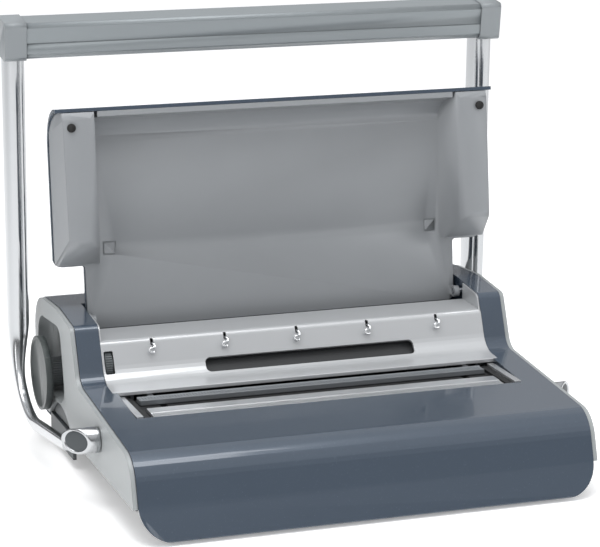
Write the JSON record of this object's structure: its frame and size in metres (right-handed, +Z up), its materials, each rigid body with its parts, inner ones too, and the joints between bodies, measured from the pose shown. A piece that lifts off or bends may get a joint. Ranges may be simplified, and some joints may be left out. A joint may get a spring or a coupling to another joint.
{
  "type": "wire binding machine",
  "caption": "Desktop wire binding machine with a pull-over handle, fold-down lid, square-hole punch, wire closer slot, side knob and chip drawer.",
  "frame": {"origin": "on the desk, under the middle of the footprint", "axes": "+X to the machine's right as its user sees it, +Y to the back, +Z up"},
  "size_m": [0.46, 0.35, 0.3806],
  "materials": {
    "pan_black": "fine textured black",
    "rubber_black": "matt",
    "zinc_screw": "zinc plated",
    "case_blue": "gloss blue-grey with a fine metallic fleck",
    "panel_grey": "satin silver-grey",
    "panel_silver": "satin silver paint",
    "tray_dark": "matt dark grey",
    "bright_wire": "polished",
    "frame_steel": "plain sheet steel",
    "bush_brass": "machined",
    "rod_steel": "ground",
    "plate_steel": "milled",
    "bed_black": "matt black",
    "strip_bright": "bright",
    "spring_steel": "oiled",
    "arm_chrome": "satin chrome",
    "grip_silver": "silver-grey enamel",
    "cap_grey": "satin grey",
    "inlay_dark": "matt dark grey",
    "gear_brass": "machined",
    "pin_steel": "ground",
    "anvil_grey": "textured grey",
    "knob_grey": "satin dark grey",
    "hub_grey": "satin grey",
    "liner_silver": "satin silver-grey",
    "drawer_dark": "matt dark grey",
    "wheel_dark": "matt dark grey"
  },
  "bodies": {
    "base": {"bottom_pan": "pan_black", "rubber_feet": "rubber_black", "cover_screws": "zinc_screw", "top_cover": "case_blue", "side_panel_left": "panel_grey", "side_panel_right": "panel_grey", "centre_panel": "panel_silver", "window_tray": "tray_dark", "wire_hooks": "bright_wire", "side_frame_left": "frame_steel", "side_frame_right": "frame_steel", "shaft_bushes": "bush_brass", "tie_rods": "rod_steel", "tie_rod_screws": "zinc_screw", "pin_guide_plate": "plate_steel", "die_plate": "plate_steel", "sheet_stop": "plate_steel", "closer_bed": "bed_black", "closer_end_strips": "strip_bright", "return_springs": "spring_steel", "drawer_surround": "drawer_dark"},
    "handle": {"handle_arm_left": "arm_chrome", "handle_arm_right": "arm_chrome", "grip_bar": "grip_silver", "grip_cap_left": "cap_grey", "grip_cap_right": "cap_grey", "arm_inlays": "inlay_dark", "main_shaft": "rod_steel", "ram_pinions": "gear_brass", "spring_collars": "rod_steel"},
    "punch_carriage": {"punch_ram": "frame_steel", "punch_pins": "pin_steel", "pull_rack_left": "plate_steel", "pull_rack_right": "plate_steel", "ram_screws": "zinc_screw"},
    "closer_jaw": {"closer_pusher": "strip_bright", "pusher_racks": "plate_steel"},
    "closer_stop": {"closer_anvil": "anvil_grey", "anvil_links": "plate_steel"},
    "knob": {"knob_disc": "knob_grey", "knob_hub": "hub_grey", "knob_shaft": "rod_steel", "anvil_pinions": "gear_brass"},
    "lid": {"lid_shell": "case_blue", "lid_liner": "liner_silver", "lid_bumpers": "rubber_black", "lid_hinge_pins": "rod_steel"},
    "drawer": {"waste_drawer": "drawer_dark", "drawer_front": "drawer_dark"},
    "thumbwheel": {"guide_thumbwheel": "wheel_dark", "guide_screw": "rod_steel"},
    "guide": {"edge_guide": "panel_silver"}
  },
  "joints": [
    {"name": "handle_pull", "type": "hinge", "parent": "base", "child": "handle", "pos_m": [0, -0.055, 0.056], "axis": [1, 0, 0], "range_deg": [0, 100]},
    {"name": "punch_stroke", "type": "slide", "parent": "base", "child": "punch_carriage", "axis": [0, 1, 0], "range_m": [0, 0.0141]},
    {"name": "closer_stroke", "type": "slide", "parent": "base", "child": "closer_jaw", "axis": [0, 1, 0], "range_m": [0, 0.0141]},
    {"name": "knob_turn", "type": "hinge", "parent": "base", "child": "knob", "pos_m": [-0.2, 0.125, 0.066], "axis": [1, 0, 0], "range_deg": [-60, 60]},
    {"name": "closer_stop_slide", "type": "slide", "parent": "base", "child": "closer_stop", "axis": [0, 1, 0], "range_m": [-0.0043, 0.0043]},
    {"name": "lid_fold", "type": "hinge", "parent": "base", "child": "lid", "pos_m": [0, 0.078, 0.1217], "axis": [1, 0, 0], "range_deg": [0, 103]},
    {"name": "drawer_slide", "type": "slide", "parent": "base", "child": "drawer", "axis": [-1, 0, 0], "range_m": [0, 0.25]},
    {"name": "thumbwheel_turn", "type": "hinge", "parent": "base", "child": "thumbwheel", "pos_m": [-0.1694, 0.03596, 0.09286], "axis": [1, 0, 0], "range_deg": [-720, 720]},
    {"name": "guide_slide", "type": "slide", "parent": "base", "child": "guide", "axis": [1, 0, 0], "range_m": [-0.0041, 0.0041]}
  ],
  "couplings": [
    {"joint": "punch_stroke", "follows": "handle_pull", "m_per_rad": 0.008},
    {"joint": "closer_stroke", "follows": "handle_pull", "m_per_rad": 0.008},
    {"joint": "closer_stop_slide", "follows": "knob_turn", "m_per_rad": -0.004},
    {"joint": "guide_slide", "follows": "thumbwheel_turn", "m_per_rad": 0.000318}
  ]
}
